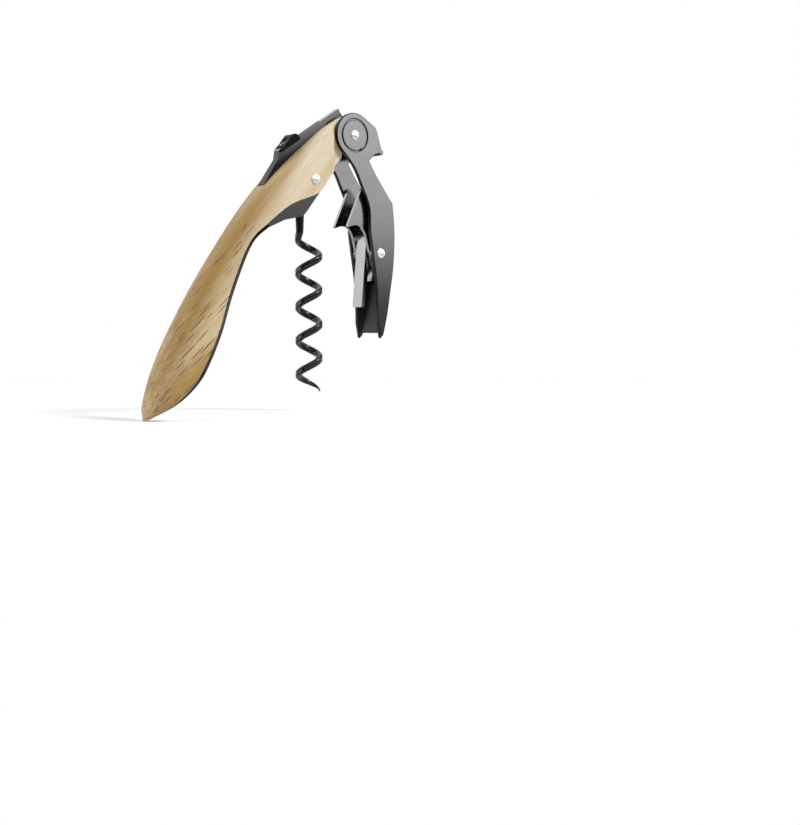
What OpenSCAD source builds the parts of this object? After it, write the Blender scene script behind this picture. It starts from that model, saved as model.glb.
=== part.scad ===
// Double lever corkscrew with a wooden grip, drawn in use: worm upright in the cork, lever down.
// X runs from the grip's tail to the lever, Y across the tool, Z up along the worm.
// The origin is on the worm's axis, at the top of the cork.

/* [Pivots] */
// Height of the worm's pivot above the cork
pivot_height = 37; // [35:0.5:42]
// Distance of the worm's axis in front of its pivot
worm_offset = 2; // [1.5:0.1:2.5]
// Hinge of the lever, in front of the worm's pivot
hinge_ahead = 14.5; // [14:0.1:15]
// Hinge of the lever, above the worm's pivot
hinge_above = 13.5; // [13:0.1:14]
// Rocker pivot, in front of the lever's hinge
rocker_ahead = 9.5; // [9:0.1:10]
// Rocker pivot, below the lever's hinge
rocker_below = 33.5; // [32.5:0.1:34.5]

/* [Lever] */
// Width of the lever over its two plates
lever_w = 11.2; // [11:0.1:12]
// Thickness of the lever's sheet
sheet = 1.2; // [1:0.1:1.3]
// Radius of the ear round the hinge
ear_r = 6.4; // [6:0.1:6.7]
// Radius of the ring pressed into the ear
ring_r = 4.8; // [4.4:0.1:5.2]
// Width of the pressed ring
ring_w = 0.5; // [0.3:0.05:0.6]
// Depth of the pressed ring
ring_depth = 0.35; // [0.2:0.05:0.45]
// Distance of the lever's tip below the hinge
lever_drop = 57.9; // [56:0.5:62]

/* [Rocker] */
// Thickness of the washers beside the rocker
rocker_washer = 0.65; // [0.6:0.05:0.8]
// Thickness of the rocker's sheet
rocker_sheet = 1; // [0.8:0.1:1.1]
// Width of the strip that stands on the rim
strip_w = 4.4; // [4:0.1:4.8]
// Thickness of the strip
strip_t = 1.5; // [1.2:0.1:1.6]
// Height of the strip's foot above the cork
foot_z = 1.3; // [0.5:0.1:3]

/* [Pins] */
// Radius of the three pins
pin_r = 1.1; // [0.9:0.05:1.2]
// Radius of the domed rivet heads
head_r = 1.4; // [1.3:0.05:1.6]
// Height of the domed rivet heads
head_h = 0.7; // [0.5:0.05:0.9]
// Outer radius of the hinge's bush
bush_r = 1.8; // [1.6:0.05:2]
// Outer radius of the washers
washer_r = 2.6; // [2.4:0.1:3]

/* [Worm] */
// Radius of the worm's wire
wire_r = 1.1; // [0.9:0.05:1.15]
// Outer radius of the worm's coil
coil_r = 4.2; // [3.9:0.05:4.3]
// Height of one turn
worm_pitch = 9.7; // [9:0.1:10.5]
// Turns of the coil
worm_turns = 4.6; // [3.5:0.1:4.8]
// Height of the coil's start above the cork
coil_top = 22.7; // [21:0.1:23.5]
// Width of the worm's block
block_w = 4; // [3.8:0.1:4.4]
// Radius of the block's eye
eye_r = 3.4; // [3.2:0.1:3.6]

/* [Grip] */
// Clear width of the channel that takes the worm
channel_w = 8.9; // [8.8:0.05:9]
// Thickness of the frame's fork plates
fork_t = 1; // [0.8:0.05:1.1]
// Thickness of the keel's rails
rail_t = 1.65; // [1.4:0.05:1.7]
// Thickness of the polished tray
tray_t = 1; // [0.8:0.05:1.1]
// Thickness of the washers beside the knuckle
hinge_washer = 0.4; // [0.35:0.05:0.5]
// Radius of the knuckle
knuckle_r = 5.2; // [4.8:0.1:5.3]

/* [Foil cutter] */
// Slope of the cutter's housing, in degrees
cutter_slope = 33; // [32:0.5:34]
// Width of the housing at its foot
cover_w = 3; // [2.8:0.1:3.4]
// Width of the housing along its top
cover_top_w = 2.2; // [2.1:0.05:2.4]
// Top wall of the housing
cover_wall = 0.5; // [0.4:0.05:0.6]
// Clear width inside the housing
cavity_w = 1.4; // [1.3:0.05:1.5]
// Travel of the thumb slide
slide_travel = 12; // [8:0.5:12]
// Thickness of the blade
blade_t = 0.4; // [0.3:0.05:0.45]
// Length of the thumb knob
knob_len = 8.2; // [7.8:0.1:8.6]
// Width of the thumb knob
knob_w = 4; // [3.8:0.1:5]

/* [Clearances] */
// Gap between pieces that are fixed together
seat = 0.04; // [0.02:0.01:0.06]
// Running gap round a pin
run = 0.06; // [0.03:0.01:0.09]
// Gap beside sliding pieces
slip = 0.2; // [0.15:0.05:0.25]

/* [Hidden] */
$fn = 48;
far = 60;

// Pivots in the side view, as [x, z]
worm_pivot = [-worm_offset, pivot_height];
hinge = worm_pivot + [hinge_ahead, hinge_above];
rocker_pivot = hinge + [rocker_ahead, -rocker_below];

// Half widths across the tool
lever_out = lever_w / 2;
lever_in = lever_out - sheet;
cheek_out = lever_in - seat - rocker_washer - run;
cheek_in = cheek_out - rocker_sheet;
knuckle_half = lever_in - seat - hinge_washer - run;
channel_half = channel_w / 2;
fork_out = channel_half + fork_t;
rail_out = channel_half + rail_t;
block_half = block_w / 2;
recess_half = lever_in - slip;

// Colours
wood_colour = [0.82, 0.66, 0.43];
black_metal = [0.16, 0.16, 0.17];
polished_metal = [0.35, 0.35, 0.36];
bright_steel = [0.85, 0.85, 0.86];

// Grip stations from the front to the tail, from the worm's pivot:
// [back x, back z, belly x, belly z, half width, squareness, hollow]
stations = [
    [12, 18.9, 10.7, 6.9, 6.2, 5, 0],
    [6, 15.3, 6, 2, 6.3, 5, 0],
    [0.8, 11.2, 2, -3.1, 6.4, 4.5, 0],
    [-6.9, 4.7, -3.1, -6.5, 6.4, 4, 0],
    [-13.3, -1.3, -9.1, -9.1, 6.3, 3.5, 0],
    [-20, -8.9, -16.2, -13.4, 6, 3, 0.6],
    [-27.4, -18.5, -22, -19, 5.7, 2.6, 1.6],
    [-34.6, -28.5, -28, -31.5, 6, 2.5, 2.6],
    [-40.3, -37.7, -32, -42, 6.7, 2.5, 3.6],
    [-45.2, -46.8, -36, -50, 7.3, 2.5, 4.2],
    [-48.8, -55.1, -40, -56.3, 7.5, 2.4, 4],
    [-51.1, -63, -45.5, -62, 6.2, 2.3, 2.2],
    [-51.8, -66.5, -50.5, -66, 1.5, 2, 0.3]
];
tray_from = 5;
rings_per_station = 5;
ring_steps = 24;
edge_land = 0.4;

// Value at t of a smooth curve through a list of vectors
function spline(pts, t) =
    let (
        last = len(pts) - 1,
        i = min(floor(t), last - 1),
        f = t - i,
        a = pts[max(i - 1, 0)],
        b = pts[i],
        c = pts[i + 1],
        d = pts[min(i + 2, last)]
    )
    b + f * (c - a) / 2 + f * f * (a - 2.5 * b + 2 * c - d / 2) + f * f * f * (1.5 * (b - c) + (d - a) / 2);

// Points of a smooth open curve, with steps points to each span
function curve(pts, steps = 6) =
    [for (i = [0 : (len(pts) - 1) * steps]) spline(pts, i / steps)];

function arc(centre, r, a0, a1, steps = 16) =
    [for (i = [0 : steps]) let (a = a0 + (a1 - a0) * i / steps) centre + r * [cos(a), sin(a)]];

function signed_power(v, e) = sign(v) * pow(abs(v), e);

// Point of the grip at station value s, across by y and up from the belly by v
function grip_point(s, y, v) =
    let (
        belly = worm_pivot + [s[2], s[3]],
        up = [s[0] - s[2], s[1] - s[3]] / norm([s[0] - s[2], s[1] - s[3]]),
        p = belly + v * up
    )
    [p[0], y, p[1]];

function grip_height(s) = norm([s[0] - s[2], s[1] - s[3]]);
function ring_y(s, j) = -s[4] * signed_power(cos(180 * j / ring_steps), 2 / s[5]);
function back_v(s, j) =
    edge_land + (grip_height(s) - edge_land) * pow(sin(180 * j / ring_steps), 2 / s[5]);
function hollow_v(s, j) = s[6] * (1 - pow(ring_y(s, j) / s[4], 2));

function back_skin(s) = [for (j = [0 : ring_steps]) grip_point(s, ring_y(s, j), back_v(s, j))];
function belly_skin(s, drop) =
    [for (j = [0 : ring_steps]) grip_point(s, ring_y(s, j), hollow_v(s, j) - drop)];

// Closed solid between two grids of points, upper and lower, as lists of rows
module skin_solid(upper, lower) {
    rows = len(upper);
    cols = len(upper[0]);
    all_points = [for (r = upper) each r, for (r = lower) each r];
    function top(i, j) = i * cols + j;
    function low(i, j) = rows * cols + i * cols + j;
    function quad(a, b, c, d) = [[a, c, b], [a, d, c]];
    faces = [
        for (i = [0 : rows - 2], j = [0 : cols - 2])
            each quad(top(i, j), top(i, j + 1), top(i + 1, j + 1), top(i + 1, j)),
        for (i = [0 : rows - 2], j = [0 : cols - 2])
            each quad(low(i, j), low(i + 1, j), low(i + 1, j + 1), low(i, j + 1)),
        for (i = [0 : rows - 2])
            each quad(top(i, 0), top(i + 1, 0), low(i + 1, 0), low(i, 0)),
        for (i = [0 : rows - 2])
            each quad(top(i, cols - 1), low(i, cols - 1), low(i + 1, cols - 1), top(i + 1, cols - 1)),
        for (j = [0 : cols - 2])
            each quad(top(0, j), low(0, j), low(0, j + 1), top(0, j + 1)),
        for (j = [0 : cols - 2])
            each quad(top(rows - 1, j), top(rows - 1, j + 1), low(rows - 1, j + 1), low(rows - 1, j))
    ];
    polyhedron(all_points, faces);
}

// Side view outline between two places across the tool
module slab(y0, y1) {
    translate([0, y1, 0])
        rotate([90, 0, 0])
            linear_extrude(y1 - y0)
                children();
}

// The same outline on both sides of the tool
module both_sides(inner, outer) {
    slab(inner, outer) children();
    slab(-outer, -inner) children();
}

// Round rod across the tool at a place in the side view
module rod(at, r, y0, y1) {
    translate([at[0], y1, at[1]])
        rotate([90, 0, 0])
            cylinder(r = r, h = y1 - y0);
}

module tube(at, r_in, r_out, y0, y1) {
    difference() {
        rod(at, r_out, y0, y1);
        rod(at, r_in, y0 - 1, y1 + 1);
    }
}

// Pin across the tool with a low dome at each end
dome_steps = 8;

module domed_pin(at, r, half) {
    dome_r = (head_r * head_r + head_h * head_h) / (2 * head_h);
    translate([at[0], 0, at[1]])
        rotate([90, 0, 0])
            rotate_extrude()
                polygon(concat(
                    [for (i = [0 : dome_steps]) let (z = half + head_h * (1 - i / dome_steps))
                        [sqrt(max(0, pow(dome_r, 2) - pow(z - half - head_h + dome_r, 2))), z]],
                    [[r, half], [r, -half]],
                    [for (i = [0 : dome_steps]) let (z = -half - head_h * i / dome_steps)
                        [sqrt(max(0, pow(dome_r, 2) - pow(-z - half - head_h + dome_r, 2))), z]]
                ));
}

// Grip
// Line where the wood meets the metal keel, and the keel's lower edge, from the worm's pivot
tray_start = stations[tray_from];
keel_end = [tray_start[2], tray_start[3]];
keel_end_up = ([tray_start[0], tray_start[1]] - keel_end) / grip_height(tray_start);
keel_top = [[2, -3.1], [-0.4, -4.5], [-8.8, -7.8], keel_end];
keel_low = [keel_end - tray_t * keel_end_up, [-10.4, -11.9], [-4.2, -10.6], [-2.7, -9]];
// Socket in the wood for the frame's fork, and the fork's own outline
fork_line = [[5.2, 9.2], [-3.5, 3.8], [-8, -1.5], [-11, -6]];
fork_low = [[-9, -8.5], [-0.4, -5.2], [2, -3.5], [5, 2.2]];
bridge_low = 4.6;
// Roof of the channel above the keel's rear end
channel_roof = 1.8;
// Ridge where the wood's side is cut back for the lever's ear
ridge_top = [6.4, 15];
ridge_low = [6.5, 3.8];
ridge_run = 1.2;
ridge_half = rail_out + 0.37;
// Cutter's housing in its own frame: along the slope and above the hinge
cover_front = 2.1;
cover_top = 8;
cover_floor = 3.2;
cover_back = -32.6;
cover_tail_top = 2.6;
cover_tail_low = 2;
neck_from = -22.9;
neck_to = -24.4;
neck_h = 6.1;
cavity_half = cavity_w / 2;
cavity_top = cover_top - cover_wall;
cavity_back = -23;
neck_half = 2.6;
// Neck from the fork to the knuckle, and its socket in the wood
neck_outline = concat(from_worm([[4.5, 4.6], [4.5, 10]]), from_hinge([[0, 3], [0, -4.6]]));
neck_socket = concat(from_worm([[4.5, 4.4], [4.5, 10.8]]), from_hinge([[0, 3], [0, -5]]));
// Front end of the channel's roof in the wood
channel_front = [-8, -4];

function from_worm(pts) = [for (p = pts) worm_pivot + p];
function from_hinge(pts) = [for (p = pts) hinge + p];

// Frame along the cutter's slope, with its origin on the hinge
module on_slope() {
    translate([hinge[0], 0, hinge[1]])
        rotate([0, -cutter_slope, 0])
            children();
}

module grip_blank() {
    rows = [for (i = [0 : (len(stations) - 1) * rings_per_station]) spline(stations, i / rings_per_station)];
    skin_solid([for (s = rows) back_skin(s)], [for (s = rows) belly_skin(s, 0)]);
}

// Room beside the ear: a slanted face that falls from the ridge to the recess
module ear_recess() {
    a = worm_pivot + ridge_top;
    b = worm_pivot + ridge_low;
    along = b - a;
    turn = atan2(along[1], along[0]);
    for (side = [-1, 1])
        translate([a[0], 0, a[1]])
            rotate([0, -turn, 0])
                translate([-far / 2, 0, 0])
                    rotate([90, 0, 90])
                        linear_extrude(far * 2)
                            polygon([
                                [side * far, 0], [side * ridge_half, 0], [side * recess_half, ridge_run],
                                [side * recess_half, far], [side * far, far]
                            ]);
}

module cover_outline(grow) {
    polygon([
        [cover_front + grow, cover_top + grow], [neck_from, cover_top + grow], [neck_to, neck_h + grow],
        [cover_back - grow, cover_tail_top + grow], [cover_back - grow, cover_tail_low - grow],
        [neck_to, cover_floor - grow], [cover_front + grow, cover_floor - grow]
    ]);
}

// Housing's outer form: its outline with both flanks leaning in towards the top
module cover_form(grow) {
    foot = cover_w / 2 + grow;
    top = cover_top_w / 2 + grow;
    rise = cover_top - cover_floor;
    intersection() {
        slab(-foot * 2, foot * 2) cover_outline(grow);
        translate([-far, 0, cover_floor])
            rotate([90, 0, 90])
                linear_extrude(2 * far)
                    polygon([[-2 * foot + top, -rise], [2 * foot - top, -rise], [2 * top - foot, 2 * rise],
                        [foot - 2 * top, 2 * rise]]);
    }
}

module wood_grip() {
    color(wood_colour) difference() {
        grip_blank();
        slab(-far, far)
            polygon(from_worm(concat(curve(keel_top), [keel_end - [0, far], keel_top[0] - [0, far]])));
        slab(-fork_out - seat, fork_out + seat)
            polygon(from_worm(concat(
                [fork_line[0] + [seat, seat]],
                [for (i = [1 : len(fork_line) - 1]) fork_line[i] + [-seat, seat]],
                [fork_low[0] - [seat, 0], fork_low[0] - [seat, far], fork_line[0] + [seat, -far]])));
        slab(-channel_half, channel_half)
            polygon(from_worm([
                channel_front, keel_end + [0, channel_roof], keel_end - [0, far], channel_front - [0, far]
            ]));
        slab(-neck_half - seat, neck_half + seat)
            polygon(neck_socket);
        rod(hinge, knuckle_r + slip, -far, far);
        ear_recess();
        on_slope() cover_form(seat);
        rod(worm_pivot, pin_r + seat, -far, far);
    }
}

// Seat below the wood, and beside the tray at the keel's rear end
function keel_gap(p) = min(norm(p - keel_end), norm(p - keel_low[0])) < seat ? [2 * seat, 0] : [0, -seat];

module frame() {
    color(black_metal) difference() {
        union() {
            rod(hinge, knuckle_r, -knuckle_half, knuckle_half);
            slab(-neck_half, neck_half)
                polygon(neck_outline);
            intersection() {
                slab(-fork_out, fork_out) polygon(from_worm(concat(fork_line, fork_low)));
                translate([-far, -far, worm_pivot[1] + bridge_low]) cube(2 * far);
            }
            both_sides(channel_half, fork_out) polygon(from_worm(concat(fork_line, fork_low)));
            both_sides(channel_half, rail_out)
                polygon(from_worm([for (p = concat(curve(keel_top), keel_low)) p + keel_gap(p)]));
        }
        rod(hinge, bush_r + seat, -far, far);
        rod(worm_pivot, pin_r + seat, -far, far);
        on_slope() translate([-far, -far, cover_floor - 2 * seat]) cube([2 * far, 2 * far, far]);
    }
}

module belly_tray() {
    rows = [
        for (i = [tray_from * rings_per_station : (len(stations) - 1) * rings_per_station])
            spline(stations, i / rings_per_station)
    ];
    color(polished_metal)
        skin_solid([for (s = rows) belly_skin(s, seat)], [for (s = rows) belly_skin(s, tray_t)]);
}

module hinge_bush() {
    color(bright_steel) tube(hinge, pin_r + run, bush_r, -knuckle_half, knuckle_half);
}

module worm_pin() {
    color(bright_steel) domed_pin(worm_pivot, pin_r, stations[2][4] + seat);
}

// A pair of flat rings on a pin, between two half widths
module ring_pair(at, inner, outer) {
    tube(at, pin_r + seat, washer_r, inner, outer);
    tube(at, pin_r + seat, washer_r, -outer, -inner);
}

module worm_spacers() {
    color(bright_steel) ring_pair(worm_pivot, block_half + run, channel_half - seat);
}

// Foil cutter, along the slope and above the hinge
stem_back = -21;
stem_len = 3.6;
stem_w = 0.8;
stem_up = 0.5;
knob_mid = -18.65;
knob_low = 7.2;
knob_rear_top = 8.05;
knob_front_top = 9.6;
knob_tail = 1.05;
knob_nose = 1.9;
knob_corner = 1;
dish_r = 5;
dish_depth = 0.2;
carrier_back = -22;
carrier_front = -14;
carrier_low = 4.3;
blade_back = -21;
blade_front = 1.6;
blade_low = 4.6;
blade_high = 6.8;
blade_mid = (blade_low + blade_high) / 2;
leaf_t = 0.3;
leaf_w = 1.2;
leaf_len = 20;
bump_r = leaf_t;
rivet_x = -18;
rivet_r = 0.5;
carrier_half = cavity_half - slip;
stem_top = cover_top + slip + stem_up;

module blade_cover() {
    color(black_metal) on_slope() difference() {
        cover_form(0);
        translate([cavity_back, -cavity_half, -far]) cube([far, 2 * cavity_half, far + cavity_top]);
        translate([stem_back - slip, -stem_w / 2 - slip, 0])
            cube([stem_len + slide_travel + 2 * slip, stem_w + 2 * slip, far]);
    }
}

module detent_leaf() {
    color(bright_steel) on_slope() {
        translate([cavity_back + slip, -leaf_w / 2, cover_floor]) cube([leaf_len, leaf_w, leaf_t]);
        for (x = [rivet_x, rivet_x + slide_travel])
            rod([x, cover_floor + leaf_t], bump_r, -leaf_w / 2, leaf_w / 2);
    }
}

// Wedge with a round nose and a thumb dish, hollowed to ride over the housing
module thumb_knob() {
    half_len = knob_len / 2;
    half_w = knob_w / 2;
    front = knob_mid + half_len;
    rear = knob_mid - half_len;
    crest = [front - knob_nose, knob_front_top];
    shoulder = [rear + knob_tail, knob_rear_top];
    middle = (crest + shoulder) / 2;
    lean = atan2(crest[1] - shoulder[1], crest[0] - shoulder[0]);
    end_low = knob_low + slip;
    nose = [front - 0.3 * knob_nose, (end_low + knob_front_top) / 2 + slip];
    color(black_metal) on_slope() difference() {
        intersection() {
            slab(-half_w, half_w)
                polygon(concat([[rear, knob_low], [front, knob_low]],
                    curve([[front, end_low], nose, crest, middle, shoulder, [rear, end_low]])));
            translate([knob_mid, 0, 0]) linear_extrude(far) {
                square([knob_len - 2 * knob_corner, knob_w], center = true);
                square([knob_len, knob_w - 2 * knob_corner], center = true);
                for (x = [-1, 1], y = [-1, 1])
                    translate([x * (half_len - knob_corner), y * (half_w - knob_corner)]) circle(knob_corner);
            }
        }
        translate([middle[0], 0, middle[1]])
            rotate([0, -lean, 0])
                translate([0, 0, dish_r - dish_depth]) sphere(dish_r);
        cover_form(slip);
        translate([-far, -cover_top_w / 2 - slip, 0])
            cube([2 * far, cover_top_w + 2 * slip, cover_top + slip]);
        translate([stem_back - seat, -stem_w / 2 - seat, 0])
            cube([stem_len + 2 * seat, stem_w + 2 * seat, stem_top + seat]);
    }
}

module blade_carrier() {
    color(black_metal) on_slope() difference() {
        union() {
            translate([carrier_back, -carrier_half, carrier_low])
                cube([carrier_front - carrier_back, 2 * carrier_half, cavity_top - slip - carrier_low]);
            translate([stem_back, -stem_w / 2, carrier_low]) cube([stem_len, stem_w, stem_top - carrier_low]);
        }
        translate([blade_back - seat, -blade_t / 2 - seat, blade_low - seat])
            cube([far, blade_t + 2 * seat, blade_high - blade_low + 2 * seat]);
        rod([rivet_x, blade_mid], rivet_r + seat, -far, far);
    }
}

module foil_blade() {
    teeth = 9;
    tooth_r = 0.5;
    color(bright_steel) on_slope() difference() {
        slab(-blade_t / 2, blade_t / 2)
            polygon(concat(
                [[blade_back, blade_low], [blade_back, blade_high], [blade_front - 5, blade_high]],
                curve([[blade_front - 4, blade_high - 0.1], [blade_front - 1.6, blade_high - 0.7],
                    [blade_front, blade_low + 0.3]], 4),
                [[blade_front - 0.4, blade_low]]
            ));
        rod([rivet_x, blade_mid], rivet_r + seat, -far, far);
        for (i = [1 : teeth])
            rod([blade_front - 2 * tooth_r * i, blade_low - tooth_r / 2], tooth_r, -far, far);
    }
}

module blade_rivet() {
    color(bright_steel) on_slope() rod([rivet_x, blade_mid], rivet_r, -carrier_half, carrier_half);
}

// Lever
// Front edge of the lever's plates below the ear, and its spine, from the hinge
plate_front = [[-4.6, -4.45], [-1.05, -8], [0.75, -10.5], [2.2, -13.4], [5.3, -20.2], [5.7, -27],
    [6.6, -33], [7.9, -41.6], [8.4, -50], [8.5, 4 - lever_drop]];
plate_tip = [[9.4, -lever_drop - 0.6], [10.5, -lever_drop + 0.4]];
spine_line = [[10.7, 1 - lever_drop], [12.1, -51.2], [13.3, -44.1], [14.4, -36.8], [14.8, -27.3],
    [14, -18.6]];
window_foot = [13.3, -18];
waist_back = [7.5, -10.4];
notch_back = [5.3, -6.9];
hook_point = [10.4, -4.7];
opener_top = [7.9, 2.7];
ear_tangent_low = 222;
ear_tangent_high = 58;
notch_rise = 0.9;
notch_steps = 8;
lip_from = 7.2;
lip_t = 1;

// Underside of the crown opener's hook, a shallow arch from the notch to the hook's point
notch_curve =
    [for (i = [0 : notch_steps]) let (f = i / notch_steps)
        notch_back + f * (hook_point - notch_back) + [0, notch_rise * 4 * f * (1 - f)]];

module lever_plate() {
    polygon(from_hinge(concat(
        arc([0, 0], ear_r, ear_tangent_high, ear_tangent_low, 32),
        curve(plate_front),
        plate_tip,
        curve(spine_line),
        [window_foot, waist_back],
        notch_curve,
        [opener_top]
    )));
}

// Band of sheet that lies inside a curve in the side view
module inner_band(pts, t) {
    inside = [for (i = [0 : len(pts) - 1]) let (
        a = pts[max(i - 1, 0)],
        b = pts[min(i + 1, len(pts) - 1)],
        d = (b - a) / norm(b - a)) pts[i] + t * [-d[1], d[0]]];
    polygon(from_hinge(concat(pts, [for (i = [len(pts) - 1 : -1 : 0]) inside[i]])));
}

module lever_channel() {
    color(black_metal) difference() {
        union() {
            both_sides(lever_in, lever_out) lever_plate();
            slab(-lever_out, lever_out) inner_band(curve(spine_line), sheet);
            slab(-lever_out, lever_out) inner_band([hook_point, opener_top], sheet);
            slab(-lever_out, lever_out)
                inner_band([for (p = notch_curve) if (p[0] > lip_from) p], lip_t);
        }
        rod(hinge, pin_r + seat, -far, far);
        rod(rocker_pivot, pin_r + seat, -far, far);
        for (side = [-1, 1])
            tube(hinge, ring_r - ring_w, ring_r, min(side * (lever_out - ring_depth), side * far),
                max(side * (lever_out - ring_depth), side * far));
    }
}

module hinge_pin() {
    color(bright_steel) domed_pin(hinge, pin_r, lever_out + seat);
}

module rocker_pin() {
    color(bright_steel) domed_pin(rocker_pivot, pin_r, lever_out + seat);
}

module hinge_washers() {
    color(bright_steel) ring_pair(hinge, knuckle_half + run, lever_in - seat);
}

module rocker_washers() {
    color(bright_steel) ring_pair(rocker_pivot, cheek_out + run, lever_in - seat);
}

// Rocker
// Outline of the rocker's cheeks, from its pivot
cheek_upper = [[2.2, 15.5], [-4, 19.4], [-5.6, 18.6], [-6.6, 16.5], [-10.7, 7.6]];
cheek_notch = [[-10.5, 7.3], [-8, 8], [-5.6, 7.4], [-4.2, 5.6], [-3, 1.5], [-1.4, -4.2], [-0.6, -8]];
cheek_back = [[0.6, -8], [2.2, -3], [3.1, 2], [3.1, 8]];
strip_foot = -4.6;
strip_head = [-2.8, 4];
// Rounded bend that joins the strip to the cheeks, over and under
bend_over = [strip_head, [-2.3, 5.6], [-0.9, 6.2], [2.4, 6]];
bend_under = [[2.4, 5], [-0.6, 5], [-1.2, 4.6], strip_head + [strip_t, 0]];
web_t = 1;
bush_wall = 0.5;

module step_rocker() {
    foot = foot_z - rocker_pivot[1];
    function from_rocker(pts) = [for (p = pts) rocker_pivot + p];
    color(black_metal) difference() {
        union() {
            both_sides(cheek_in, cheek_out)
                polygon(from_rocker(concat(cheek_upper, curve(cheek_notch), cheek_back)));
            slab(-cheek_out, cheek_out)
                polygon(from_rocker(concat(cheek_back, [cheek_upper[0], cheek_upper[0] - [web_t, 0]],
                    [for (i = [len(cheek_back) - 1 : -1 : 0]) cheek_back[i] - [web_t, 0]])));
            slab(-cheek_out, cheek_out)
                polygon(from_rocker(concat(curve(bend_over), bend_under)));
            slab(-strip_w / 2, strip_w / 2)
                polygon(from_rocker([strip_head + [0, slip], [strip_foot, foot], [strip_foot + strip_t, foot],
                    strip_head + [strip_t, slip]]));
        }
        rod(rocker_pivot, pin_r + run, -far, far);
    }
}

module rocker_bush() {
    color(bright_steel) tube(rocker_pivot, pin_r + run, pin_r + run + bush_wall, seat - cheek_in,
        cheek_in - seat);
}

// Worm
block_low = 29;
block_side = 2;
shank_top = 33;
shank_r = 1.4;
taper_foot = 22;
helix_r = coil_r - wire_r;
bend = 2.4;
wire_sides = 12;
turn_rings = 24;
shank_rings = 3;
point_turn = 0.4;
groove = 0.3;

// Angle of the wire round the coil's axis, in turns, at a drop below the coil's start
function turn_at(drop) =
    drop < 0 ? 0 : drop < bend ? drop * drop / (2 * bend * worm_pitch) : (drop - bend / 2) / worm_pitch;
function wire_angle(z) = 180 - 360 * turn_at(coil_top - z);
function wire_at(z) = [helix_r * cos(wire_angle(z)), helix_r * sin(wire_angle(z)), z];
function wire_radius(z) =
    let (left = worm_turns - turn_at(coil_top - z))
    z > taper_foot ? wire_r + (shank_r - wire_r) * min(1, (z - taper_foot) / (block_low - taper_foot))
    : wire_r * min(1, 0.15 + 0.85 * max(0, left) / point_turn);
// Share of the wire's radius at a place round its section, with a groove on the coil's outer side
function section_at(a, z) = z > taper_foot ? 1 : abs(a) < 1 ? 1 - groove : 1;

worm_foot = coil_top - bend / 2 - worm_turns * worm_pitch;
coil_rings = ceil((coil_top - worm_foot) / worm_pitch * turn_rings);
coil_heights = [for (i = [0 : coil_rings]) coil_top + (worm_foot - coil_top) * i / coil_rings];
half_turn = floor(turn_rings / 2);
turn_gap = min([for (i = [0 : coil_rings], j = [0 : coil_rings]) if (j > i + half_turn)
    norm(wire_at(coil_heights[i]) - wire_at(coil_heights[j]))]) - 2 * wire_r;
echo(str("Least gap between the worm's turns: ", turn_gap, " mm"));

module worm() {
    heights = concat(
        [for (i = [0 : shank_rings - 1]) shank_top + (coil_top - shank_top) * i / shank_rings],
        coil_heights
    );
    last = len(heights) - 1;
    n = wire_sides;
    rings = [for (i = [0 : last]) let (
        z = heights[i],
        d = wire_at(heights[min(i + 1, last)]) - wire_at(heights[max(i - 1, 0)]),
        out = [cos(wire_angle(z)), sin(wire_angle(z)), 0],
        side = cross(d, out) / norm(cross(d, out)),
        lift = cross(side, d) / norm(cross(side, d)))
        [for (k = [0 : n - 1]) let (a = 360 * k / n)
            wire_at(z) + wire_radius(z) * section_at(k, z) * (cos(a) * lift + sin(a) * side)]];
    faces = concat(
        [for (i = [0 : last - 1], k = [0 : n - 1]) each [
            [i * n + k, (i + 1) * n + (k + 1) % n, i * n + (k + 1) % n],
            [i * n + k, (i + 1) * n + k, (i + 1) * n + (k + 1) % n]]],
        [for (k = [1 : n - 2]) [0, k, k + 1]],
        [for (k = [1 : n - 2]) [last * n, last * n + k + 1, last * n + k]]
    );
    color(black_metal) polyhedron([for (r = rings) each r], faces);
}

module worm_block() {
    color(black_metal) difference() {
        union() {
            rod(worm_pivot, eye_r, -block_half, block_half);
            slab(-block_half, block_half)
                polygon([worm_pivot + [-eye_r, 0], [-helix_r - block_side, worm_pivot[1] - eye_r],
                    [-helix_r - block_side, block_low], [block_side - helix_r, block_low],
                    worm_pivot + [eye_r, 0]]);
        }
        rod(worm_pivot, pin_r + run, -far, far);
        translate([-helix_r, 0, block_low - slip])
            cylinder(r = shank_r + seat, h = shank_top + seat - block_low + slip);
    }
}

wood_grip();
frame();
belly_tray();
hinge_bush();
worm_pin();
worm_spacers();
blade_cover();
detent_leaf();
thumb_knob();
blade_carrier();
foil_blade();
blade_rivet();
lever_channel();
hinge_pin();
hinge_washers();
rocker_pin();
rocker_washers();
step_rocker();
rocker_bush();
worm();
worm_block();
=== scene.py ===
"""Lever corkscrew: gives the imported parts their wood, metal, edges and stage.

Laid out as an add-on: property groups hold the sizes and colours, each operator
finishes one piece or one group of like pieces, and main() calls them in order.
"""
import math

import bmesh
import bpy
from bpy.props import FloatProperty, FloatVectorProperty, IntProperty, PointerProperty
from mathutils import Matrix, Vector


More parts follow.
